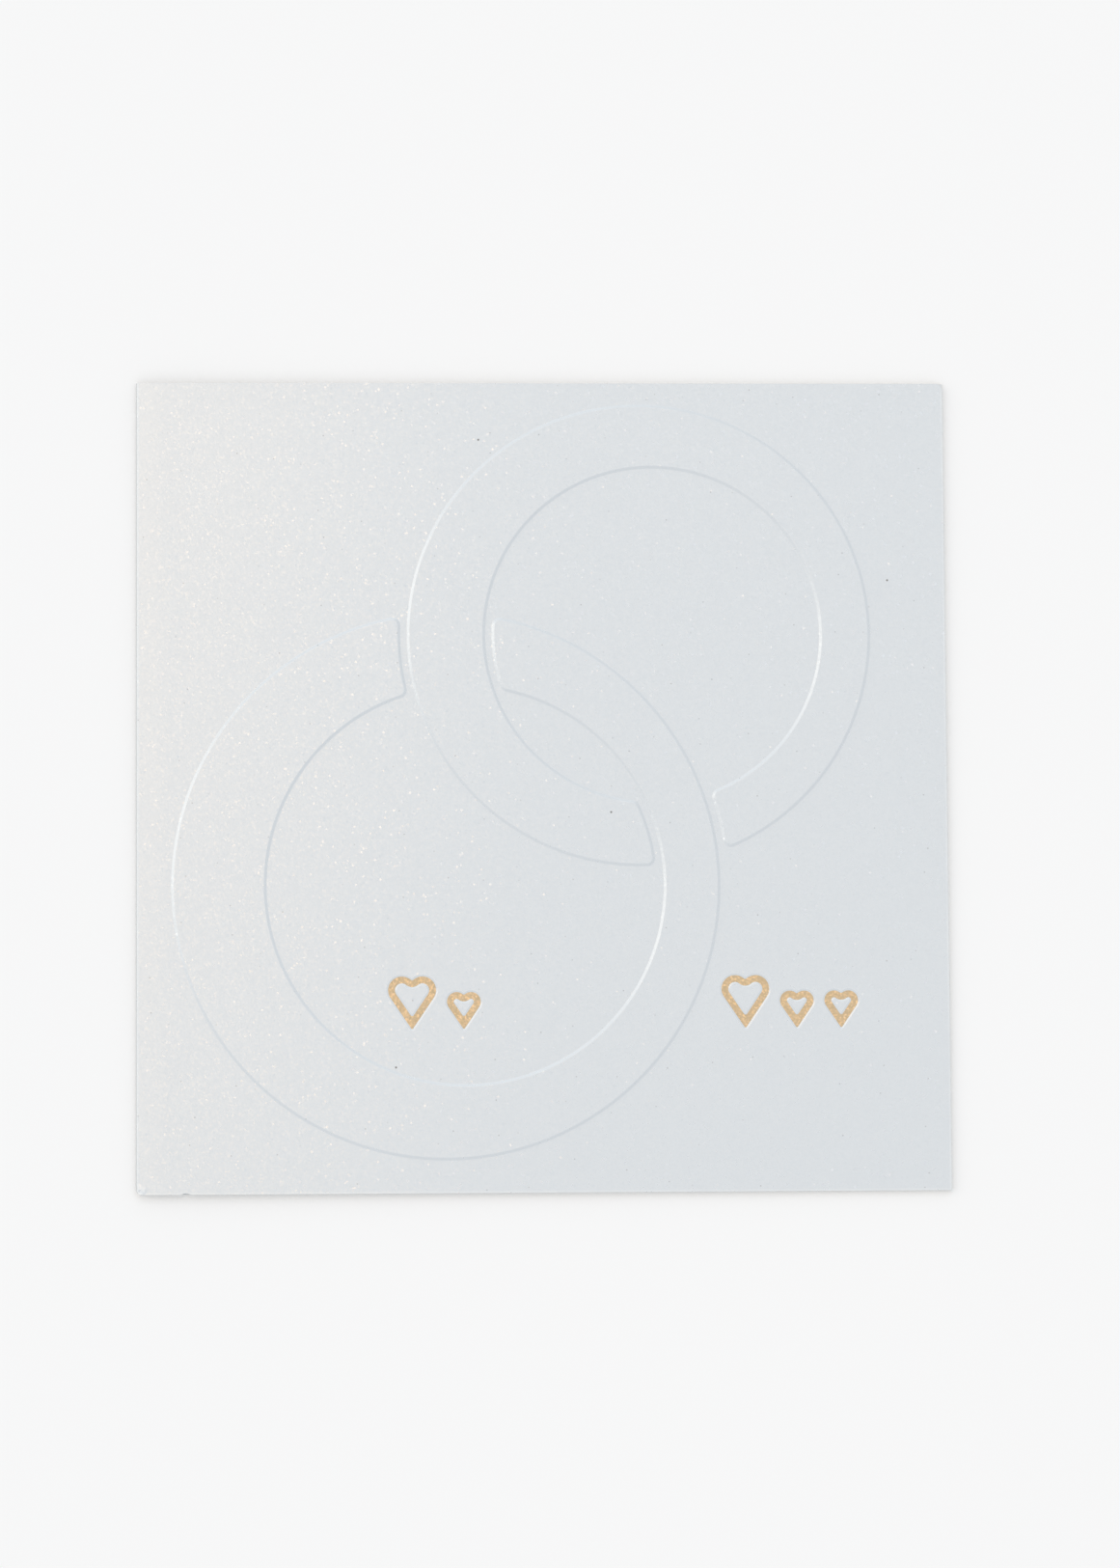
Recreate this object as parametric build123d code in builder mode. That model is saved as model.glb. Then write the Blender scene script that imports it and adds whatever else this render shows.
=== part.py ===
from build123d import *
import math
import os

# A square greeting card: one sheet of pearl board, embossed with two linked rings,
# stamped with small gold foil hearts, creased and folded once. It lies closed on its
# back. +X runs from the fold to the open side, +Y to the top of the card, +Z up.
# Sizes are in millimetres and angles in degrees.

# The folded sheet
card_width = 150.0
card_height = 150.0
board_thickness = 0.4
crease_radius = 0.2
fold_lift = 5.0
spring_radius = 60.0
free_edge_gap = 0.12

# Flat borders left between the embossing and the edges of the cover
fold_margin = 6.5
open_margin = 14.0
top_margin = 4.0
bottom_margin = 6.0

# The embossed rings
large_band = 14.0
small_band = 12.0
large_swell = 3.5
small_swell = 2.5
link_opening = 9.0
ring_ratio = 0.85
crossing_gap = 1.2
corner_round = 1.5
emboss_height = 0.3
shoulder_width = 0.5

# The foil hearts
tall_heart = 9.8
short_heart = 6.9
heart_proportion = 0.9
lobe_overlap = 0.75
heart_spacing = 2.0
foil_rise = 10.0
foil_shift = 5.8
foil_margin = 17.0
foil_stroke = 1.25
foil_press = 0.12
foil_thickness = 0.04

# Wear on the corners and the lower edge of the cover
corner_clip = 0.8
fold_corner_round = 1.1
nick_from_fold = 9.2
nick_width = 1.8
nick_depth = 0.25


# The section of the sheet, seen from the lower edge. Its outer line runs along the
# underside, round the crease, over the bend where the cover springs up, and down the
# flat of the cover, which leaves free_edge_gap at the open side.
half_width = card_width / 2
half_height = card_height / 2
fold_radius = crease_radius + board_thickness
lift = math.radians(fold_lift)
crease_centre = Vector(-half_width + fold_radius, fold_radius)
spring_start = crease_centre + Vector(-math.sin(lift), math.cos(lift)) * fold_radius
spring_centre = spring_start + Vector(math.sin(lift), -math.cos(lift)) * spring_radius
reach = Vector(half_width, board_thickness + free_edge_gap) - spring_centre
inside_bend = math.asin((spring_radius - board_thickness) / reach.length)
droop = inside_bend - math.atan2(reach.Y, reach.X)
flat_start = spring_centre + Vector(math.sin(droop), math.cos(droop)) * spring_radius


def cover_top(x):
    """Height of the flat of the cover, x to the right of the card's middle."""
    return flat_start.Y - (x - flat_start.X) * math.tan(droop)


# The plane of the cover's outer face, which carries the artwork
cover = Plane(
    origin=(0, 0, cover_top(0)),
    x_dir=(math.cos(droop), 0, -math.sin(droop)),
    z_dir=(math.sin(droop), 0, math.cos(droop)),
)

# The rings fill the cover inside its borders. The large one sits in the lower corner
# at the fold and the small one in the upper corner at the open side, and both are so
# large that link_opening is left where they reach into each other.
art_width = card_width - fold_margin - open_margin
art_height = card_height - top_margin - bottom_margin
link = large_band + small_band + link_opening
art_span = art_width + art_height - link
radius_sum = art_span - math.sqrt(art_span**2 - art_width**2 - art_height**2 + link**2)
large_radius = radius_sum / (1 + ring_ratio)
small_radius = radius_sum - large_radius
large_x = -half_width + fold_margin + large_radius
large_y = -half_height + bottom_margin + large_radius
small_x = half_width - open_margin - small_radius
small_y = half_height - top_margin - small_radius
ring_axis = math.degrees(math.atan2(small_y - large_y, small_x - large_x))
shoulder_taper = math.degrees(math.atan(shoulder_width / emboss_height))


def ring(x, y, radius, band, swell, grow=0.0):
    """A ring that is widest towards the fold, with both its edges moved out by grow."""
    with BuildSketch() as shape:
        with Locations((x, y)):
            Circle(radius + grow)
        with Locations((x + swell, y)):
            Circle(radius - band - grow, mode=Mode.SUBTRACT)
    return shape.sketch


def large_ring(grow=0.0):
    return ring(large_x, large_y, large_radius, large_band, large_swell, grow)


def small_ring(grow=0.0):
    return ring(small_x, small_y, small_radius, small_band, small_swell, grow)


def under_ring(lower, upper, side):
    """The lower ring, cut short of the upper one on one side of the line of centres."""
    with BuildSketch() as cut:
        add(upper)
        with Locations(Location((large_x, large_y, 0), (0, 0, ring_axis))):
            Rectangle(2 * card_width, card_height, align=(Align.CENTER, side),
                      mode=Mode.INTERSECT)
    with BuildSketch() as shape:
        add(lower)
        add(cut.sketch, mode=Mode.SUBTRACT)
        fillet(shape.vertices(), radius=corner_round)
    return shape.sketch


# The small ring passes over the large one above the line of centres, and under it below
with BuildSketch() as rings:
    add(under_ring(large_ring(), small_ring(crossing_gap), Align.MIN))
    add(under_ring(small_ring(), large_ring(crossing_gap), Align.MAX))


def heart(x, y, height):
    """An outlined heart that stands on its point."""
    lobe = heart_proportion * height / (2 + 2 * lobe_overlap)
    lobe_x = lobe_overlap * lobe
    lobe_y = height - lobe
    cleft = lobe_y + math.sqrt(lobe**2 - lobe_x**2)
    side = math.acos(lobe / math.hypot(lobe_x, lobe_y)) + math.atan2(-lobe_y, -lobe_x)
    side_point = (lobe_x + lobe * math.cos(side), lobe_y + lobe * math.sin(side))
    with BuildSketch() as outline:
        with BuildLine():
            Line((0, 0), side_point)
            ThreePointArc(side_point, (lobe_x, height), (0, cleft))
            mirror(about=Plane.YZ)
        make_face()
        offset(amount=-foil_stroke, mode=Mode.SUBTRACT)
    return outline.sketch.moved(Location((x, y, 0)))


# The hearts stand on one line: a pair inside the large ring, and a row of three beside
# it, each group with its tall heart first
foil_line = large_y - large_radius + large_band + foil_rise
pair = [tall_heart, short_heart]
row = [tall_heart, short_heart, short_heart]
pair_length = heart_proportion * sum(pair) + heart_spacing * (len(pair) - 1)
row_length = heart_proportion * sum(row) + heart_spacing * (len(row) - 1)
pair_start = large_x + large_swell - foil_shift - pair_length / 2
row_start = half_width - foil_margin - row_length
hearts = []
for left, heights in ((pair_start, pair), (row_start, row)):
    for height in heights:
        width = heart_proportion * height
        hearts.append(heart(left + width / 2, foil_line, height))
        left += width + heart_spacing


# The card, embossed from the inside, so that the board keeps its thickness over the
# rings and their hollow shows inside the cover
with BuildPart() as card:
    with BuildSketch(Plane.XZ):
        with BuildLine():
            underside = Line((half_width, 0), (crease_centre.X, 0))
            crease = JernArc(underside @ 1, (-1, 0), fold_radius, fold_lift - 180)
            bend = fold_lift + math.degrees(droop)
            spring = JernArc(crease @ 1, crease % 1, spring_radius, -bend)
            Line(spring @ 1, (half_width, cover_top(half_width)))
            offset(amount=board_thickness, side=Side.RIGHT)
        make_face()
    extrude(amount=half_height, both=True)
    with BuildSketch(cover):
        add(rings.sketch)
    extrude(amount=emboss_height, taper=shoulder_taper)
    with BuildSketch(cover.offset(-board_thickness)):
        add(rings.sketch)
    extrude(amount=emboss_height, taper=shoulder_taper, mode=Mode.SUBTRACT)
    with BuildSketch(cover):
        add(hearts)
    extrude(amount=-foil_press, mode=Mode.SUBTRACT)
    # The top corner at the open side is clipped, and the fold's lower end is rubbed
    # round. The cover alone has a small nick in its lower edge.
    cover_middle = cover_top(half_width) - board_thickness / 2
    open_top = (half_width, half_height, cover_middle)
    chamfer(card.edges().sort_by_distance(open_top)[0], length=corner_clip)
    with BuildSketch():
        with Locations((-half_width, -half_height)):
            Rectangle(fold_corner_round, fold_corner_round, align=Align.MIN)
        with Locations((fold_corner_round - half_width, fold_corner_round - half_height)):
            Circle(fold_corner_round, mode=Mode.SUBTRACT)
    extrude(amount=flat_start.Y, mode=Mode.SUBTRACT)
    nick_radius = (nick_width**2 / 4 + nick_depth**2) / (2 * nick_depth)
    nick_centre = (nick_from_fold - half_width, nick_depth - nick_radius - half_height)
    with BuildSketch(cover.offset(-board_thickness / 2)):
        with Locations(nick_centre):
            Circle(nick_radius)
    extrude(amount=board_thickness, both=True, mode=Mode.SUBTRACT)

card.part.label = "card"
os.makedirs("parts", exist_ok=True)
export_step(card.part, "parts/card.step")

# The foil: a film stamped onto the floor of each pressed heart
for number, outline in enumerate(hearts, start=1):
    with BuildPart() as foil_heart:
        with BuildSketch(cover.offset(-foil_press)):
            add(outline)
        extrude(amount=foil_thickness)
    foil_heart.part.label = f"foil_heart_{number}"
    export_step(foil_heart.part, f"parts/foil_heart_{number}.step")
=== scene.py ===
import bpy
import math
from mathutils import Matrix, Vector


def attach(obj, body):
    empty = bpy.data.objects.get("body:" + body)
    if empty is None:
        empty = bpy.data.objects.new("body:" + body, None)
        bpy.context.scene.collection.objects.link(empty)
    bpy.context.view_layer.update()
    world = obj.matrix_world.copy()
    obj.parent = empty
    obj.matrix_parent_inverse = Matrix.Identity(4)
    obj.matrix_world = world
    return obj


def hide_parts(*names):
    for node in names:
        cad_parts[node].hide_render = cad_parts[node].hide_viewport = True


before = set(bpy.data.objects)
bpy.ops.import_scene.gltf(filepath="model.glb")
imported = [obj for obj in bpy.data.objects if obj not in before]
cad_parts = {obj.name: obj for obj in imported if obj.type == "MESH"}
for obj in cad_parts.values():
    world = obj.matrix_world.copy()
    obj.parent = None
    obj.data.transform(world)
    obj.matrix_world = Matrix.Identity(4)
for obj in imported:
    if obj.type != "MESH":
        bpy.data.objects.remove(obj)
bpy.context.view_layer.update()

# The card is one sheet of 350 g/m2 pearl board, creased along the left and folded once.
# Two linked rings are embossed into its cover from the inside with a pair of dies, and
# the foil die has pressed the shapes of small hearts into it.
MM = 0.001
half_width = 75 * MM
half_height = 75 * MM
board_thickness = 0.4 * MM
fold_radius = 0.6 * MM
fold_lift = math.radians(5)
spring_radius = 60 * MM
free_edge_gap = 0.12 * MM
crease_step = math.radians(7)
spring_step = 0.2 * MM
underside_step, underside_steps = 0.1 * MM, 6
row_step = 10 * MM
weld_distance = 0.002 * MM

corner_clip = 0.8 * MM
fold_corner_round = 1.1 * MM
corner_row = 1.6 * fold_corner_round
nick_middle = 9.2 * MM - half_width
nick_width = 1.8 * MM
nick_depth = 0.25 * MM
edge_bevel, edge_steps = 0.05 * MM, 2

ring_ratio = 0.85
large_band, large_swell = 14 * MM, 3.5 * MM
small_band, small_swell = 12 * MM, 2.5 * MM
link_opening = 9 * MM
crossing_gap = 1.2 * MM
corner_round = 1.5 * MM
fold_margin, open_margin = 6.5 * MM, 14 * MM
top_margin, bottom_margin = 4 * MM, 6 * MM
emboss_height = 0.3 * MM
shoulder_width = 0.5 * MM
# The rounding of a slope's corners and the flat margin beside it, as shares of its width
slope_corner = 0.08
slope_margin = 0.16
slope_steps = 16

tall_heart, short_heart = 9.8 * MM, 6.9 * MM
heart_proportion = 0.9
lobe_overlap = 0.75
heart_spacing = 2 * MM
foil_rise, foil_shift, foil_margin = 10 * MM, 5.8 * MM, 17 * MM
foil_stroke = 1.25 * MM
foil_press = 0.12 * MM
press_wall = 0.3 * MM
tip_round, inner_tip_round, cleft_round = 0.2 * MM, 0.37 * MM, 0.37 * MM

longest_step = 0.7 * MM
widest_turn = math.radians(11)
sharp_turn, rim_turn = math.radians(18), math.radians(60)


def arc(centre, start, end, turn):
    """Points from start towards end round a centre: turn is 1 for left, -1 for right."""
    spoke = start - centre
    first = math.atan2(spoke.y, spoke.x)
    last = math.atan2(end.y - centre.y, end.x - centre.x)
    sweep = (turn * (last - first)) % (2 * math.pi)
    count = math.ceil(sweep * max(spoke.length / longest_step, 1 / widest_turn))
    angles = [first + turn * sweep * step / count for step in range(count)]
    return [centre + spoke.length * Vector((math.cos(a), math.sin(a))) for a in angles]


def towards(centre, point, distance):
    """The point at a distance from a centre, on the way to another point."""
    return centre + distance * (point - centre).normalized()


def crossing(centre, radius, other, other_radius):
    """Where two circles cross, on the left of the way from the first to the other."""
    way = other - centre
    along = (radius**2 - other_radius**2 + way.length_squared) / (2 * way.length)
    across = math.sqrt(radius**2 - along**2)
    ahead = way.normalized()
    return centre + along * ahead + across * Vector((-ahead.y, ahead.x))


def band_outline(ring, over):
    """Outline of an embossed ring that stops short of the ring that passes over it."""
    (centre, radius), (hole, hole_radius) = ring
    (over_centre, over_radius), (over_hole, over_hole_radius) = over
    walls = [
        (centre, radius, 1),
        (over_hole, over_hole_radius - crossing_gap, 1),
        (hole, hole_radius, -1),
        (over_centre, over_radius + crossing_gap, -1),
    ]
    corners = []
    for own, end in ((0, 1), (2, 1), (2, 3), (0, 3)):
        circles = [(c, r - side * corner_round) for c, r, side in (walls[own], walls[end])]
        corners.append(crossing(*circles[0], *circles[1]))
    points = []
    for index, (middle, size, side) in enumerate(walls):
        corner = corners[index]
        next_middle, next_size, _ = walls[(index + 1) % len(walls)]
        start = towards(middle, corners[index - 1], size)
        end = towards(middle, corner, size)
        points += arc(middle, start, end, side)
        points += arc(corner, end, towards(next_middle, corner, next_size), 1)
    return points


# The large ring fills the lower corner at the fold, and the small one the upper corner
# at the open side
art_width = 2 * half_width - fold_margin - open_margin
art_height = 2 * half_height - top_margin - bottom_margin
link = large_band + small_band + link_opening
art_span = art_width + art_height - link
radius_sum = art_span - math.sqrt(art_span**2 - art_width**2 - art_height**2 + link**2)
large_radius = radius_sum / (1 + ring_ratio)
small_radius = radius_sum - large_radius
large_centre = Vector((fold_margin - half_width, bottom_margin - half_height))
large_centre += Vector((large_radius, large_radius))
small_centre = Vector((half_width - open_margin, half_height - top_margin))
small_centre -= Vector((small_radius, small_radius))
large_hole = large_centre + Vector((large_swell, 0))
small_hole = small_centre + Vector((small_swell, 0))
large_ring = ((large_centre, large_radius), (large_hole, large_radius - large_band))
small_ring = ((small_centre, small_radius), (small_hole, small_radius - small_band))
ring_outlines = [band_outline(large_ring, small_ring), band_outline(small_ring, large_ring)]


def heart_outline(foot, height, inset, tip):
    """Outline of a heart that stands on its foot, parallel to its edge at an inset."""
    lobe = heart_proportion * height / (2 + 2 * lobe_overlap)
    lobe_centre = Vector((lobe_overlap * lobe, height - lobe))
    lean = math.atan2(*lobe_centre) + math.asin(lobe / lobe_centre.length)
    outwards = Vector((math.cos(lean), -math.sin(lean)))
    tip_centre = Vector((0, (inset + tip) / math.sin(lean)))
    cleft_rise = math.sqrt((lobe + cleft_round) ** 2 - lobe_centre.x**2)
    cleft_centre = Vector((0, lobe_centre.y + cleft_rise))
    side_start = tip_centre + tip * outwards
    side_end = lobe_centre + (lobe - inset) * outwards
    side_count = math.ceil((side_end - side_start).length / longest_step)
    cleft_start = towards(lobe_centre, cleft_centre, lobe - inset)
    cleft_end = cleft_centre - Vector((0, cleft_round + inset))
    right = arc(tip_centre, tip_centre - Vector((0, tip)), side_start, 1)
    right += [side_start.lerp(side_end, n / side_count) for n in range(side_count)]
    right += arc(lobe_centre, side_end, cleft_start, 1)
    right += arc(cleft_centre, cleft_start, cleft_end, -1)
    left = [Vector((-point.x, point.y)) for point in reversed(right[1:])]
    return [foot + point for point in right + [cleft_end] + left]


# A pair of hearts stands inside the large ring and a row of three beside it
foil_line = large_centre.y - large_radius + large_band + foil_rise
pair = [tall_heart, short_heart]
row = [tall_heart, short_heart, short_heart]
pair_length = heart_proportion * sum(pair) + heart_spacing * (len(pair) - 1)
row_length = heart_proportion * sum(row) + heart_spacing * (len(row) - 1)
pair_start = large_hole.x - foil_shift - pair_length / 2
row_start = half_width - foil_margin - row_length
heart_outlines = []
for left, heights in ((pair_start, pair), (row_start, row)):
    for height in heights:
        foot = Vector((left + heart_proportion * height / 2, foil_line))
        inner = heart_outline(foot, height, foil_stroke, inner_tip_round)
        heart_outlines.append((heart_outline(foot, height, 0, tip_round), inner[::-1]))
        left += heart_proportion * height + heart_spacing

# The section of the sheet, seen from the lower edge: from the flat of the cover over
# the bend where it springs up, round the crease and along the underside
crease_centre = Vector((fold_radius - half_width, fold_radius))
spring_way = Vector((-math.sin(fold_lift), math.cos(fold_lift)))
spring_start = towards(crease_centre, crease_centre + spring_way, fold_radius)
spring_centre = towards(spring_start, crease_centre, spring_radius)
reach = Vector((half_width, board_thickness + free_edge_gap)) - spring_centre
inside_bend = math.asin((spring_radius - board_thickness) / reach.length)
droop = inside_bend - math.atan2(reach.y, reach.x)
flat_start = spring_centre + spring_radius * Vector((math.sin(droop), math.cos(droop)))
cover_height = flat_start.y + flat_start.x * math.tan(droop)
section = []
spring_count = math.ceil(spring_radius * (fold_lift + droop) / spring_step)
for step in range(spring_count):
    angle = droop - (fold_lift + droop) * step / spring_count
    section.append(spring_centre + spring_radius * Vector((math.sin(angle), math.cos(angle))))
crease_count = math.ceil((math.pi - fold_lift) / crease_step)
for step in range(crease_count + 1):
    angle = -fold_lift - (math.pi - fold_lift) * step / crease_count
    section.append(crease_centre + fold_radius * Vector((math.sin(angle), math.cos(angle))))
for step in range(1, underside_steps + 1):
    section.append(Vector((crease_centre.x + step * underside_step, 0)))
section.append(Vector((half_width, 0)))

# The cover's flat, with the nick in its lower edge and its top corner clipped, and the
# rows at which the fold joins it
cover_left = (flat_start.x * math.cos(droop)
              - (flat_start.y - cover_height) * math.sin(droop))
cover_right = half_width / math.cos(droop)
first_row = corner_row - half_height
row_count = math.ceil((half_height - first_row) / row_step)
rows = [first_row + (half_height - first_row) * n / row_count for n in range(row_count + 1)]
nick_radius = (nick_width**2 / 4 + nick_depth**2) / (2 * nick_depth)
nick_centre = Vector((nick_middle, nick_depth - nick_radius - half_height))
nick_start = Vector((nick_middle - nick_width / 2, -half_height))
nick_end = Vector((nick_middle + nick_width / 2, -half_height))
cover_outline = [Vector((cover_left, -half_height))]
cover_outline += arc(nick_centre, nick_start, nick_end, -1) + [nick_end]
cover_outline += [Vector((cover_right, -half_height))]
cover_outline += [Vector((cover_right, half_height - corner_clip))]
cover_outline += [Vector((cover_right - corner_clip, half_height))]
cover_outline += [Vector((cover_left, y)) for y in reversed(rows)]


def add_object(name, data):
    """An object of the scene that holds the data."""
    made = bpy.data.objects.new(name, data)
    bpy.context.scene.collection.objects.link(made)
    return made


def add_curve(name, lines, closed):
    """A curve object with straight runs through the points of each line."""
    curve = bpy.data.curves.new(name, "CURVE")
    curve.dimensions = "3D"
    for line in lines:
        spline = curve.splines.new("POLY")
        spline.points.add(len(line) - 1)
        for point, place in zip(spline.points, line):
            point.co = (place[0], place[1], 0, 1)
        spline.use_cyclic_u = closed
    return add_object(name, curve)


def add_node(tree, kind, sockets=None, **settings):
    """Add a node with its settings, and set or link its input sockets."""
    made = tree.nodes.new(kind)
    for name, value in settings.items():
        setattr(made, name, value)
    for key, value in (sockets or {}).items():
        for source in value if isinstance(value, list) else [value]:
            if isinstance(source, bpy.types.NodeSocket):
                tree.links.new(source, made.inputs[key])
            else:
                made.inputs[key].default_value = source
    return made


def add_tree(name, inputs, outputs):
    """A geometry node tree with named sockets, and the outlets of its inputs."""
    tree = bpy.data.node_groups.new(name, "GeometryNodeTree")
    for label, kind in inputs.items():
        tree.interface.new_socket(label, in_out="INPUT", socket_type="NodeSocket" + kind)
    for label in outputs:
        tree.interface.new_socket(label, in_out="OUTPUT", socket_type="NodeSocketGeometry")
    return tree, add_node(tree, "NodeGroupInput").outputs


# Pressed edge: the slope that a die leaves along an outline, with a narrow flat margin
# on both sides of it, and the outlines of the flat board beyond the margins
pressed_edge, given = add_tree(
    "pressed edge",
    {"Outlines": "Geometry", "Rise": "Float", "Slope start": "Float", "Slope end": "Float",
     "Corner": "Float", "Margin": "Float", "Steps": "Int"},
    ["Slope", "Outside", "Inside"],
)
upright = add_node(pressed_edge, "GeometryNodeSetCurveNormal", {"Curve": given["Outlines"]},
                   mode="Z_UP").outputs["Curve"]
width = add_node(pressed_edge, "ShaderNodeMath",
                 {0: given["Slope end"], 1: given["Slope start"]},
                 operation="SUBTRACT").outputs[0]
margin = add_node(pressed_edge, "ShaderNodeMath", {0: width, 1: given["Margin"]},
                  operation="MULTIPLY").outputs[0]
strip = []
for label, operation in (("Slope start", "SUBTRACT"), ("Slope end", "ADD")):
    limit = add_node(pressed_edge, "ShaderNodeMath", {0: given[label], 1: margin},
                     operation=operation).outputs[0]
    strip.append(add_node(pressed_edge, "ShaderNodeMath", {0: limit, 1: -1.0},
                          operation="MULTIPLY").outputs[0])
ends = [add_node(pressed_edge, "ShaderNodeCombineXYZ", {"X": across}).outputs[0]
        for across in strip]
profile = add_node(pressed_edge, "GeometryNodeCurvePrimitiveLine",
                   {"Start": ends[0], "End": ends[1]}).outputs[0]
profile = add_node(pressed_edge, "GeometryNodeResampleCurve",
                   {"Curve": profile, "Count": given["Steps"]}).outputs[0]
place = add_node(pressed_edge, "GeometryNodeInputPosition").outputs[0]
inwards = add_node(pressed_edge, "ShaderNodeSeparateXYZ", {0: place}).outputs["X"]
inwards = add_node(pressed_edge, "ShaderNodeMath", {0: inwards, 1: -1.0},
                   operation="MULTIPLY").outputs[0]
share = add_node(pressed_edge, "ShaderNodeMapRange",
                 {"Value": inwards, "From Min": given["Slope start"],
                  "From Max": given["Slope end"], "To Min": 0.0, "To Max": 1.0},
                 clamp=False).outputs[0]
share = add_node(pressed_edge, "ShaderNodeMath", {0: share, 1: 0.0, 2: given["Corner"]},
                 operation="SMOOTH_MAX").outputs[0]
share = add_node(pressed_edge, "ShaderNodeMath", {0: share, 1: 1.0, 2: given["Corner"]},
                 operation="SMOOTH_MIN").outputs[0]
sunk = add_node(pressed_edge, "ShaderNodeMath", {0: given["Rise"], 1: -1.0},
                operation="MULTIPLY").outputs[0]
height = add_node(pressed_edge, "ShaderNodeMath", {0: share, 1: sunk},
                  operation="MULTIPLY").outputs[0]
lift = add_node(pressed_edge, "ShaderNodeCombineXYZ", {"Y": height}).outputs[0]
profile = add_node(pressed_edge, "GeometryNodeSetPosition",
                   {"Geometry": profile, "Offset": lift}).outputs[0]
slope = add_node(pressed_edge, "GeometryNodeCurveToMesh",
                 {"Curve": upright, "Profile Curve": profile}).outputs[0]
slope = add_node(pressed_edge, "GeometryNodeFlipFaces", {"Mesh": slope}).outputs[0]
normal = add_node(pressed_edge, "GeometryNodeInputNormal").outputs[0]
flats = []
for across in strip:
    shift = add_node(pressed_edge, "ShaderNodeVectorMath", {0: normal, "Scale": across},
                     operation="SCALE").outputs[0]
    flats.append(add_node(pressed_edge, "GeometryNodeSetPosition",
                          {"Geometry": upright, "Offset": shift}).outputs[0])
add_node(pressed_edge, "NodeGroupOutput",
         {"Slope": slope, "Outside": flats[0], "Inside": flats[1]})

# Folded card: fills the flat board between the pressed edges, tips the cover to its
# droop and joins it to the fold and the back
folded_card, given = add_tree(
    "folded card",
    {"Geometry": "Geometry", "Rings": "Object", "Hearts": "Object", "Cover outline": "Object",
     "Fold line": "Object", "Section": "Object", "Emboss height": "Float",
     "Shoulder width": "Float", "Foil press": "Float", "Press wall": "Float",
     "Corner": "Float", "Margin": "Float", "Steps": "Int", "Cover height": "Float",
     "Droop": "Float", "Corner round": "Float", "Half width": "Float",
     "Half height": "Float", "Board": "Material"},
    ["Geometry"],
)
shapes = {}
for label in ("Rings", "Hearts", "Cover outline", "Fold line", "Section"):
    shapes[label] = add_node(folded_card, "GeometryNodeObjectInfo",
                             {"Object": given[label]}).outputs["Geometry"]
wall_start = add_node(folded_card, "ShaderNodeMath", {0: given["Press wall"], 1: -1.0},
                      operation="MULTIPLY").outputs[0]
slopes, gaps, flats = [], [shapes["Cover outline"]], []
for label, rise, start, end in (
    ("Rings", "Emboss height", 0.0, given["Shoulder width"]),
    ("Hearts", "Foil press", wall_start, 0.0),
):
    pressed = add_node(folded_card, "GeometryNodeGroup",
                       {"Outlines": shapes[label], "Rise": given[rise], "Slope start": start,
                        "Slope end": end, "Corner": given["Corner"],
                        "Margin": given["Margin"], "Steps": given["Steps"]},
                       node_tree=pressed_edge)
    slopes.append(add_node(folded_card, "GeometryNodeStoreNamedAttribute",
                           {"Geometry": pressed.outputs["Slope"], "Name": "ironed",
                            "Value": 1.0 if label == "Hearts" else 0.0},
                           domain="FACE").outputs[0])
    gaps.append(pressed.outputs["Outside"])
    flat = add_node(folded_card, "GeometryNodeFillCurve",
                    {"Curve": pressed.outputs["Inside"]}).outputs[0]
    level = add_node(folded_card, "ShaderNodeCombineXYZ", {"Z": given[rise]}).outputs[0]
    flats.append(add_node(folded_card, "GeometryNodeTransform",
                          {"Geometry": flat, "Translation": level}).outputs[0])
board = add_node(folded_card, "GeometryNodeJoinGeometry", {"Geometry": gaps}).outputs[0]
board = add_node(folded_card, "GeometryNodeFillCurve", {"Curve": board}).outputs[0]
cover = add_node(folded_card, "GeometryNodeJoinGeometry",
                 {"Geometry": slopes + flats + [board]}).outputs[0]
tip = add_node(folded_card, "ShaderNodeCombineXYZ", {"Y": given["Droop"]}).outputs[0]
raised = add_node(folded_card, "ShaderNodeCombineXYZ", {"Z": given["Cover height"]}).outputs[0]
cover = add_node(folded_card, "GeometryNodeTransform",
                 {"Geometry": cover, "Translation": raised, "Rotation": tip}).outputs[0]
back = add_node(folded_card, "GeometryNodeCurveToMesh",
                {"Curve": shapes["Fold line"], "Profile Curve": shapes["Section"]}).outputs[0]
back = add_node(folded_card, "GeometryNodeFlipFaces", {"Mesh": back}).outputs[0]
place = add_node(folded_card, "GeometryNodeInputPosition").outputs[0]
parts = add_node(folded_card, "ShaderNodeSeparateXYZ", {0: place}).outputs
corner = add_node(folded_card, "ShaderNodeMath", {0: given["Corner round"], 1: parts["X"]},
                  operation="SUBTRACT").outputs[0]
corner = add_node(folded_card, "ShaderNodeMath", {0: corner, 1: given["Half width"]},
                  operation="SUBTRACT").outputs[0]
corner = add_node(folded_card, "ShaderNodeMath", {0: corner, 1: 0.0},
                  operation="MAXIMUM").outputs[0]
corner = add_node(folded_card, "ShaderNodeMath", {0: corner, 1: corner},
                  operation="MULTIPLY").outputs[0]
square = add_node(folded_card, "ShaderNodeMath",
                  {0: given["Corner round"], 1: given["Corner round"]},
                  operation="MULTIPLY").outputs[0]
corner = add_node(folded_card, "ShaderNodeMath", {0: square, 1: corner},
                  operation="SUBTRACT").outputs[0]
corner = add_node(folded_card, "ShaderNodeMath", {0: corner}, operation="SQRT").outputs[0]
lowest = add_node(folded_card, "ShaderNodeMath",
                  {0: given["Corner round"], 1: given["Half height"]},
                  operation="SUBTRACT").outputs[0]
lowest = add_node(folded_card, "ShaderNodeMath", {0: lowest, 1: corner},
                  operation="SUBTRACT").outputs[0]
rounded_y = add_node(folded_card, "ShaderNodeMath", {0: parts["Y"], 1: lowest},
                     operation="MAXIMUM").outputs[0]
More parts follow.
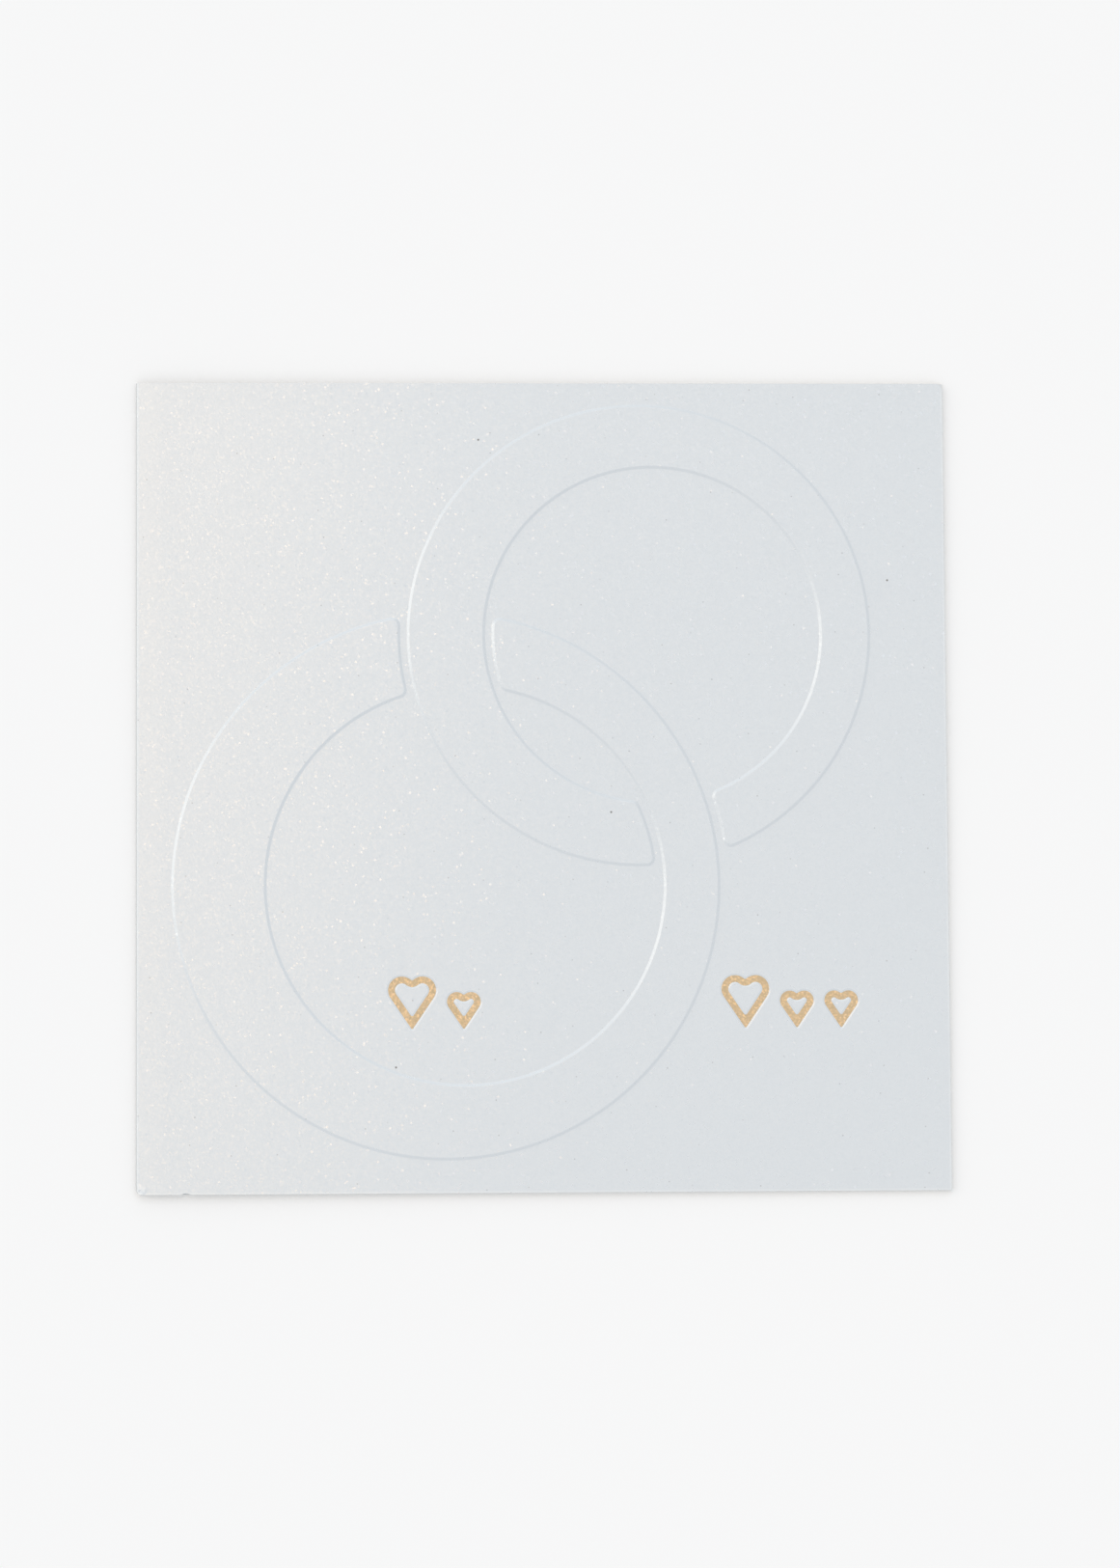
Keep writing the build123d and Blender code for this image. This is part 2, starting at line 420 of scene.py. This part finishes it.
rounded = add_node(folded_card, "ShaderNodeCombineXYZ",
                   {"X": parts["X"], "Y": rounded_y, "Z": parts["Z"]}).outputs[0]
back = add_node(folded_card, "GeometryNodeSetPosition",
                {"Geometry": back, "Position": rounded}).outputs[0]
whole = add_node(folded_card, "GeometryNodeJoinGeometry",
                 {"Geometry": [cover, back]}).outputs[0]
whole = add_node(folded_card, "GeometryNodeMergeByDistance",
                 {"Geometry": whole, "Distance": weld_distance}).outputs[0]
whole = add_node(folded_card, "GeometryNodeSetShadeSmooth", {"Geometry": whole}).outputs[0]
whole = add_node(folded_card, "GeometryNodeRealizeInstances", {"Geometry": whole}).outputs[0]
whole = add_node(folded_card, "GeometryNodeSetMaterial",
                 {"Geometry": whole, "Material": given["Board"]}).outputs[0]
add_node(folded_card, "NodeGroupOutput", {"Geometry": whole})


def colour(code):
    """A hex sRGB colour as the linear values that the nodes take."""
    levels = [int(code[n:n + 2], 16) / 255 for n in (1, 3, 5)]
    return (*[c / 12.92 if c <= 0.04045 else ((c + 0.055) / 1.055) ** 2.4 for c in levels], 1)


def new_material(name):
    """A material with an empty tree."""
    made = bpy.data.materials.new(name)
    made.use_nodes = True
    made.node_tree.nodes.clear()
    return made


def add_flakes(tree, coords, size, tilt, glint):
    """The lean of cells that tilt at random, a tenth of them up to glint times as far."""
    flakes = add_node(tree, "ShaderNodeTexVoronoi", {"Vector": coords, "Scale": 1 / size})
    pick = add_node(tree, "ShaderNodeSeparateXYZ", {0: flakes.outputs["Color"]}).outputs["Z"]
    glint = add_node(tree, "ShaderNodeMapRange",
                     {"Value": pick, "From Min": 0.9, "From Max": 1.0, "To Min": 1.0,
                      "To Max": glint}).outputs[0]
    lean = add_node(tree, "ShaderNodeVectorMath",
                    {0: flakes.outputs["Color"], 1: (0.5, 0.5, 0.5)},
                    operation="SUBTRACT").outputs[0]
    lean = add_node(tree, "ShaderNodeVectorMath", {0: lean, "Scale": tilt},
                    operation="SCALE").outputs[0]
    return add_node(tree, "ShaderNodeVectorMath", {0: lean, "Scale": glint},
                    operation="SCALE").outputs[0]


def add_facing(tree, *leans):
    """The surface's normal with leans added to it."""
    facing = add_node(tree, "ShaderNodeNewGeometry").outputs["Normal"]
    for lean in leans:
        facing = add_node(tree, "ShaderNodeVectorMath", {0: facing, 1: lean}).outputs[0]
    return add_node(tree, "ShaderNodeVectorMath", {0: facing},
                    operation="NORMALIZE").outputs[0]


# Pearl board: paper with a coat of mica pigment. The eye sees cool white with a broad
# soft sheen and fine glints that come and go with the angle. Mica flakes are about
# 0.03 mm, too fine for the picture, so each cell stands for a patch of them. Patches that
# the coater has combed up to the left are the glossiest. The paper is faintly cloudy, and
# holds small dark fibres and a few specks of dirt. A pale band painted along the lower and
# the open edges is a painted highlight, where those cut edges catch the light. A grey band
# painted along the fold is painted shade, for the dark line where the fold curves away.
# The coat is ironed glossy beside the foil by the hot die. The lower corner at the fold is
# crushed into small facets. The cover bows a little, so its face turns from the fold to
# the open side.
flake_patch, flake_tilt, flake_glint = 0.32 * MM, 0.08, 3.2
comb_way, comb_start, comb_full, comb_gloss = (-0.8, 0.6, 0.0), 0.02, 0.08, 0.45
bow_at_fold, bow_beyond, bow_end = -0.08, 0.02, 10 * MM
facet_size, facet_tilt, crushed_core, crushed_edge = 0.5 * MM, 0.7, 1.4 * MM, 2.6 * MM
cloud_size = 3.5 * MM
fibre_spacing, fibre_core, fibre_edge, fibre_depth = 8 * MM, 0.08 * MM, 0.176 * MM, 0.4
# Painted edge highlight: its width in from the edge, and where it is full
edge_highlight_start, edge_highlight_full = 0.45 * MM, 0.2 * MM
# Painted fold shade: its width in from the fold, where it is full, and how dark
fold_shade_start, fold_shade_full, fold_shade_depth = 0.4 * MM, 0.1 * MM, 0.45
specks = [(-11.6, 64.4), (-27.3, -51.9), (12.6, -5.0), (64.3, 38.1)]
speck_core, speck_edge, speck_depth = 0.1 * MM, 0.26 * MM, 0.9
coat_roughness, ironed_roughness = 0.4, 0.25
pearl = new_material("pearl coated board")
shader = pearl.node_tree
coords = add_node(shader, "ShaderNodeTexCoord").outputs["Object"]
flakes = add_flakes(shader, coords, flake_patch, flake_tilt, flake_glint)
flat_place = add_node(shader, "ShaderNodeVectorMath", {0: coords, 1: (1.0, 1.0, 0.0)},
                      operation="MULTIPLY").outputs[0]
place = add_node(shader, "ShaderNodeSeparateXYZ", {0: coords}).outputs
bow = add_node(shader, "ShaderNodeMapRange",
               {"Value": place["X"], "From Min": -half_width, "From Max": bow_end,
                "To Min": bow_at_fold, "To Max": bow_beyond},
               interpolation_type="SMOOTHSTEP").outputs[0]
bow = add_node(shader, "ShaderNodeCombineXYZ", {"X": bow}).outputs[0]
from_corner = add_node(shader, "ShaderNodeVectorMath",
                       {0: flat_place, 1: (-half_width, -half_height, 0)},
                       operation="DISTANCE").outputs["Value"]
crushed = add_node(shader, "ShaderNodeMapRange",
                   {"Value": from_corner, "From Min": crushed_core, "From Max": crushed_edge,
                    "To Min": 1.0, "To Max": 0.0}).outputs[0]
facets = add_flakes(shader, coords, facet_size, facet_tilt, 1.0)
facets = add_node(shader, "ShaderNodeVectorMath", {0: facets, "Scale": crushed},
                  operation="SCALE").outputs[0]
clouds = add_node(shader, "ShaderNodeTexNoise",
                  {"Vector": coords, "Scale": 1 / cloud_size, "Detail": 3.0}).outputs["Fac"]
paper = add_node(shader, "ShaderNodeMix",
                 {0: clouds, 6: colour("#DBDFE2"), 7: colour("#DDE1E4")}, data_type="RGBA")
down = add_node(shader, "ShaderNodeMath", {0: place["Y"], 1: -1.0},
                operation="MULTIPLY").outputs[0]
outwards = add_node(shader, "ShaderNodeMath", {0: place["X"], 1: down},
                    operation="MAXIMUM").outputs[0]
# Painted highlight: a pale band along the lower and the open edges, where the cut edges catch
# the light, broken up by the clouds
painted_edge_highlight = add_node(shader, "ShaderNodeMapRange",
                  {"Value": outwards, "From Min": half_width - edge_highlight_start,
                   "From Max": half_width - edge_highlight_full, "To Min": 0.0,
                   "To Max": clouds}).outputs[0]
paper = add_node(shader, "ShaderNodeMix",
                 {0: painted_edge_highlight, 6: paper.outputs[2], 7: colour("#E7EAEB")}, data_type="RGBA")
# Painted shade: a grey band along the fold, for the dark line where the fold curves away from
# the light
painted_fold_shade = add_node(shader, "ShaderNodeMapRange",
                   {"Value": place["X"], "From Min": fold_shade_start - half_width,
                    "From Max": fold_shade_full - half_width, "To Min": 0.0,
                    "To Max": fold_shade_depth}).outputs[0]
paper = add_node(shader, "ShaderNodeMix",
                 {0: painted_fold_shade, 6: paper.outputs[2], 7: colour("#C2C3C2")}, data_type="RGBA")
fibres = add_node(shader, "ShaderNodeTexVoronoi",
                  {"Vector": flat_place, "Scale": 1 / fibre_spacing},
                  voronoi_dimensions="2D")
depth = add_node(shader, "ShaderNodeSeparateXYZ", {0: fibres.outputs["Color"]}).outputs["X"]
dirt = add_node(shader, "ShaderNodeMapRange",
                {"Value": fibres.outputs["Distance"], "From Min": fibre_core / fibre_spacing,
                 "From Max": fibre_edge / fibre_spacing, "To Min": depth,
                 "To Max": 0.0}).outputs[0]
dirt = add_node(shader, "ShaderNodeMath", {0: dirt, 1: fibre_depth},
                operation="MULTIPLY").outputs[0]
for x, y in specks:
    away = add_node(shader, "ShaderNodeVectorMath", {0: flat_place, 1: (x * MM, y * MM, 0)},
                    operation="DISTANCE").outputs["Value"]
    speck = add_node(shader, "ShaderNodeMapRange",
                     {"Value": away, "From Min": speck_core, "From Max": speck_edge,
                      "To Min": speck_depth, "To Max": 0.0}).outputs[0]
    dirt = add_node(shader, "ShaderNodeMath", {0: dirt, 1: speck},
                    operation="MAXIMUM").outputs[0]
paper = add_node(shader, "ShaderNodeMix",
                 {0: dirt, 6: paper.outputs[2], 7: colour("#6E6963")}, data_type="RGBA")
ironed = add_node(shader, "ShaderNodeAttribute", attribute_name="ironed").outputs["Fac"]
ironed = add_node(shader, "ShaderNodeMapRange",
                  {"Value": ironed, "To Min": coat_roughness,
                   "To Max": ironed_roughness}).outputs[0]
combed = add_node(shader, "ShaderNodeVectorMath", {0: flakes, 1: comb_way},
                  operation="DOT_PRODUCT").outputs["Value"]
gloss = add_node(shader, "ShaderNodeMapRange",
                 {"Value": combed, "From Min": comb_start, "From Max": comb_full,
                  "To Min": 1.0, "To Max": comb_gloss}).outputs[0]
gloss = add_node(shader, "ShaderNodeMath", {0: ironed, 1: gloss},
                 operation="MULTIPLY").outputs[0]
surface = add_node(shader, "ShaderNodeBsdfPrincipled",
                   {"Base Color": paper.outputs[2], "Metallic": 0.4, "Roughness": gloss,
                    "Normal": add_facing(shader, flakes, bow, facets)})
add_node(shader, "ShaderNodeOutputMaterial", {"Surface": surface.outputs[0]})

# Cut edge of the board: bare paper fibre, matt and a little warmer than the coat. Its
# colour is also painted greyer than bare fibre as painted shade, so that the edge reads as
# a dark line and darkens the card's shadow on the table beside it. The eye sees it only as
# a soft line. Its fibres lie in layers along the sheet, drawn eight times as long as they
# are thick, and coarser than real ones so that they show close up.
fibre_length, fibre_lift = 0.5 * MM, 0.03 * MM
bare = new_material("cut board edge")
shader = bare.node_tree
coords = add_node(shader, "ShaderNodeTexCoord").outputs["Object"]
layers = add_node(shader, "ShaderNodeVectorMath", {0: coords, 1: (1.0, 1.0, 8.0)},
                  operation="MULTIPLY").outputs[0]
layers = add_node(shader, "ShaderNodeTexNoise",
                  {"Vector": layers, "Scale": 1 / fibre_length, "Detail": 4.0}).outputs["Fac"]
# Fibre tones, both greyer than bare paper fibre as painted shade
fibre = add_node(shader, "ShaderNodeMix",
                 {0: layers, 6: colour("#C0BDB5"), 7: colour("#E3E0DA")}, data_type="RGBA")
rough = add_node(shader, "ShaderNodeBump",
                 {"Height": layers, "Distance": fibre_lift, "Strength": 0.6}).outputs[0]
surface = add_node(shader, "ShaderNodeBsdfPrincipled",
                   {"Base Color": fibre.outputs[2], "Roughness": 0.9, "Normal": rough})
add_node(shader, "ShaderNodeOutputMaterial", {"Surface": surface.outputs[0]})


def finished_mesh(item):
    """The mesh that an object's modifiers make. The object is used up."""
    graph = bpy.context.evaluated_depsgraph_get()
    made = bpy.data.meshes.new_from_object(item.evaluated_get(graph))
    bpy.data.objects.remove(item)
    return made


def grow(tree, inputs):
    """The mesh that a geometry node tree makes from its inputs."""
    blank = add_object(tree.name, bpy.data.meshes.new(tree.name))
    modifier = blank.modifiers.new(tree.name, "NODES")
    modifier.node_group = tree
    sockets = {s.name: s.identifier for s in tree.interface.items_tree if s.in_out == "INPUT"}
    for label, value in inputs.items():
        modifier[sockets[label]] = value
    made = finished_mesh(blank)
    if made.materials[0] is None:
        made.materials.pop(index=0)
    return made


def thicken(mesh, thickness):
    """A closed sheet below the mesh. Its inner points follow the outer ones."""
    sheet = add_object(mesh.name, mesh)
    wall = sheet.modifiers.new("thickness", "SOLIDIFY")
    wall.thickness = thickness
    wall.offset = -1
    wall.use_even_offset = True
    wall.material_offset_rim = len(mesh.materials) - 1
    return finished_mesh(sheet)


def soften_rim(name, mesh, bevel):
    """A piece of sheet with the sharp corners of its rim taken off."""
    sheet = add_object(name, mesh)
    rim = sheet.modifiers.new("rim", "BEVEL")
    rim.limit_method = "ANGLE"
    rim.angle_limit = rim_turn
    rim.width = bevel
    rim.segments = edge_steps
    rim.use_clamp_overlap = False
    solid = finished_mesh(sheet)
    solid.set_sharp_from_angle(angle=sharp_turn)
    return add_object(name, solid)


drawn = {
    "Rings": add_curve("ring outlines", ring_outlines, True),
    "Hearts": add_curve("heart outlines", [line for heart in heart_outlines for line in heart],
                        True),
    "Cover outline": add_curve("cover outline", [cover_outline], True),
    "Fold line": add_curve("fold line", [[(0, -half_height)] + [(0, y) for y in rows]], False),
    "Section": add_curve("section", [[(point.x, -point.y) for point in section]], False),
}
card_mesh = grow(folded_card, {
    **drawn, "Emboss height": emboss_height, "Shoulder width": shoulder_width,
    "Foil press": -foil_press, "Press wall": press_wall, "Corner": slope_corner,
    "Margin": slope_margin, "Steps": slope_steps, "Cover height": cover_height,
    "Droop": droop, "Corner round": fold_corner_round, "Half width": half_width,
    "Half height": half_height, "Board": pearl,
})
for shape in drawn.values():
    bpy.data.objects.remove(shape)
card_mesh.materials.append(bare)
sheet = thicken(card_mesh, board_thickness)

# The dies press the cover straight through, so its inside repeats its outside right
# below it, and stays flat under the foil. The fold's lower end is rubbed round through
# the whole board.
cover_normal = Vector((math.sin(droop), 0, math.cos(droop)))
for outer, inner in zip(card_mesh.vertices, sheet.vertices[len(card_mesh.vertices):]):
    x, y, z = outer.co
    height = (z - cover_height) * math.cos(droop) + x * math.sin(droop)
    if x >= flat_start.x and height > -board_thickness / 2:
        inner.co = outer.co - (board_thickness + min(height, 0)) * cover_normal
    elif y < first_row - board_thickness:
        inset = max(fold_corner_round - half_width - inner.co.x, 0)
        inner.co.y = fold_corner_round - half_height
        inner.co.y -= math.sqrt(fold_corner_round**2 - inset**2)
card = soften_rim("pearl_card", sheet, edge_bevel)
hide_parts("card")
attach(card, "root")

# The foil: gold film that a heated die has stamped onto the board, one patch to each
# heart. It covers the floor of the pressed shape, and the walls round it stay bare.
foil_thickness = 0.02 * MM
foil_seat = 0.002 * MM
foil_edge = 0.006 * MM

stamped_film, given = add_tree(
    "stamped film",
    {"Geometry": "Geometry", "Outlines": "Object", "Foil top": "Float",
     "Cover height": "Float", "Droop": "Float", "Foil": "Material"},
    ["Geometry"],
)
film = add_node(stamped_film, "GeometryNodeObjectInfo",
                {"Object": given["Outlines"]}).outputs["Geometry"]
film = add_node(stamped_film, "GeometryNodeFillCurve", {"Curve": film}).outputs[0]
level = add_node(stamped_film, "ShaderNodeCombineXYZ", {"Z": given["Foil top"]}).outputs[0]
film = add_node(stamped_film, "GeometryNodeTransform",
                {"Geometry": film, "Translation": level}).outputs[0]
tip = add_node(stamped_film, "ShaderNodeCombineXYZ", {"Y": given["Droop"]}).outputs[0]
raised = add_node(stamped_film, "ShaderNodeCombineXYZ",
                  {"Z": given["Cover height"]}).outputs[0]
film = add_node(stamped_film, "GeometryNodeTransform",
                {"Geometry": film, "Translation": raised, "Rotation": tip}).outputs[0]
film = add_node(stamped_film, "GeometryNodeRealizeInstances", {"Geometry": film}).outputs[0]
film = add_node(stamped_film, "GeometryNodeSetMaterial",
                {"Geometry": film, "Material": given["Foil"]}).outputs[0]
add_node(stamped_film, "NodeGroupOutput", {"Geometry": film})

# Hot-stamped foil: aluminium under a gold lacquer. The eye sees pale satin gold that
# picks up the grain of the board below it and is a little thinner in places. Both are
# drawn at the size of the smallest patches that show.
grain_size, grain_tilt, grain_glint, worn_size = 0.28 * MM, 0.35, 2.0, 0.45 * MM
gold = new_material("pale gold stamping foil")
shader = gold.node_tree
coords = add_node(shader, "ShaderNodeTexCoord").outputs["Object"]
grain = add_flakes(shader, coords, grain_size, grain_tilt, grain_glint)
worn = add_node(shader, "ShaderNodeTexNoise",
                {"Vector": coords, "Scale": 1 / worn_size, "Detail": 2.0}).outputs["Fac"]
tone = add_node(shader, "ShaderNodeMix",
                {0: worn, 6: colour("#CAB487"), 7: colour("#E4C7A9")}, data_type="RGBA")
surface = add_node(shader, "ShaderNodeBsdfPrincipled",
                   {"Base Color": tone.outputs[2], "Metallic": 1.0, "Roughness": 0.38,
                    "Normal": add_facing(shader, grain)})
add_node(shader, "ShaderNodeOutputMaterial", {"Surface": surface.outputs[0]})

for number, outlines in enumerate(heart_outlines, start=1):
    shape = add_curve("heart outline", outlines, True)
    film_mesh = grow(stamped_film, {
        "Outlines": shape, "Foil top": foil_seat + foil_thickness - foil_press,
        "Cover height": cover_height, "Droop": droop, "Foil": gold,
    })
    bpy.data.objects.remove(shape)
    film = thicken(film_mesh, foil_thickness)
    heart = soften_rim(f"gold_foil_heart_{number}", film, foil_edge)
    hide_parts(f"foil_heart_{number}")
    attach(heart, "root")

# The table: a plain pale floor of matt white laminate that the card lies on, wide enough
# to fill the view
table_half = 3.0
table_mesh = bpy.data.meshes.new("table")
table_mesh.from_pydata([(-table_half, -table_half, 0), (table_half, -table_half, 0),
                        (table_half, table_half, 0), (-table_half, table_half, 0)],
                       [], [(0, 1, 2, 3)])
table = add_object("table", table_mesh)
matt = new_material("matt white laminate")
shader = matt.node_tree
surface = add_node(shader, "ShaderNodeBsdfDiffuse", {"Color": colour("#F6F6F6")})
add_node(shader, "ShaderNodeOutputMaterial", {"Surface": surface.outputs[0]})
table_mesh.materials.append(matt)

# The light: an even pale room, a wide cool window beyond the card's top, a low one at
# its left that lights the shoulders of the embossing, and a small warm lamp high at the
# upper left that draws the sheen
world = bpy.data.worlds.new("pale room")
bpy.context.scene.world = world
world.use_nodes = True
world.node_tree.nodes.clear()
room = add_node(world.node_tree, "ShaderNodeBackground",
                {"Color": colour("#F9FCFF"), "Strength": 0.9})
seen = add_node(world.node_tree, "ShaderNodeBackground",
                {"Color": colour("#F7F7F7"), "Strength": 1.0})
camera_ray = add_node(world.node_tree, "ShaderNodeLightPath").outputs["Is Camera Ray"]
backdrop = add_node(world.node_tree, "ShaderNodeMixShader",
                    {0: camera_ray, 1: room.outputs[0], 2: seen.outputs[0]}).outputs[0]
add_node(world.node_tree, "ShaderNodeOutputWorld", {"Surface": backdrop})


def add_lamp(name, azimuth, elevation, width, strength, code):
    """A distant soft lamp: its angles are in degrees, with azimuth 90 at the card's top."""
    lamp = bpy.data.lights.new(name, "SUN")
    lamp.angle = math.radians(width)
    lamp.energy = strength
    lamp.color = colour(code)[:3]
    made = add_object(name, lamp)
    made.rotation_euler = (0, math.radians(90 - elevation), math.radians(azimuth))


add_lamp("top window", 105, 45, 70, 0.3, "#E9F6FF")
add_lamp("left window", 165, 25, 40, 0.38, "#FFF4E4")
add_lamp("warm lamp", 142, 67, 30, 0.18, "#FFC470")

# The camera stands almost straight above the card, as in the photograph, with a lens so
# long that the card's sides stay nearly parallel
camera_data = bpy.data.cameras.new("camera")
camera_data.lens = 120
camera_data.sensor_width = 36
camera = add_object("camera", camera_data)
camera.location = (-39.07 * MM, -79.61 * MM, 962.42 * MM)
camera.rotation_euler = [math.radians(angle) for angle in (4.761, -2.486, -0.370)]
bpy.context.scene.camera = camera
bpy.context.scene.view_settings.view_transform = "Standard"
